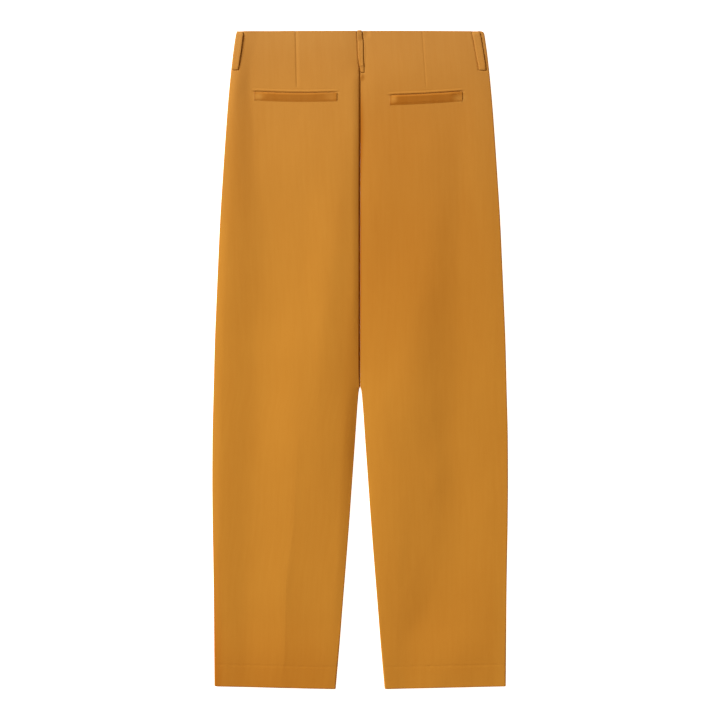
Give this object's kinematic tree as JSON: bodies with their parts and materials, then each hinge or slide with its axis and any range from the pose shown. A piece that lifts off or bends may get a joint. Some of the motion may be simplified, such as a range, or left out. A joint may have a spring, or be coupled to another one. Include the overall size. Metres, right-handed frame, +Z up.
{
  "type": "straight-leg trousers",
  "caption": "Straight-leg trousers in plain woven cloth, laid flat with the back up, with belt loops, back darts and welt pockets.",
  "frame": {"origin": "middle of the garment's length and width, on the surface that it lies on", "axes": "+Y towards the waist, +X towards the wearer's right, +Z up out of the back of the garment"},
  "size_m": [0.4732, 1.0545, 0.009],
  "materials": {
    "cloth": "fine twill, matt",
    "zip_tape": "woven tape, matt"
  },
  "bodies": {
    "root": {"back_left": "cloth", "back_right": "cloth", "front_left": "cloth", "front_right": "cloth", "belt_loop_left": "cloth", "belt_loop_centre": "cloth", "belt_loop_right": "cloth", "pocket_welt_left": "cloth", "pocket_welt_right": "cloth", "zip": "zip_tape"}
  },
  "joints": []
}
